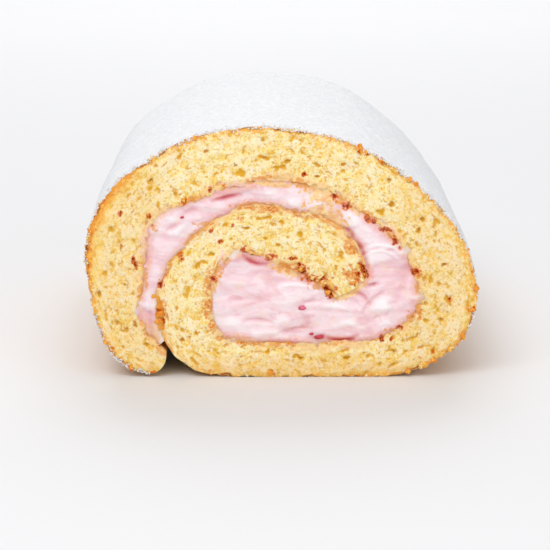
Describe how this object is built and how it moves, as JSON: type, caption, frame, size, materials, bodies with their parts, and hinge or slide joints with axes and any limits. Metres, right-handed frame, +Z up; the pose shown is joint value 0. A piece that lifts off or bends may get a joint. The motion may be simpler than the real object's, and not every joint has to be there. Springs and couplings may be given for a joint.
{
  "type": "swiss roll cake",
  "caption": "Sponge cake rolled up round pink whipped cream, cut square so that the ends show the swirl, with icing sugar on top.",
  "frame": {"origin": "on the surface that the cake rests on, under the middle of the roll", "axes": "+Z up, +Y along the roll away from the shown cut end, +X to the right when facing that end"},
  "size_m": [0.1125, 0.1609, 0.0723],
  "materials": {
    "sponge": "matt open crumb, pale yellow, with a thin browned skin on the outside and along the cream",
    "cream": "soft sheen, pale pink with rose streaks",
    "icing_sugar": "fine dry white powder"
  },
  "bodies": {
    "root": {"sponge": "sponge", "cream": "cream"}
  },
  "joints": []
}
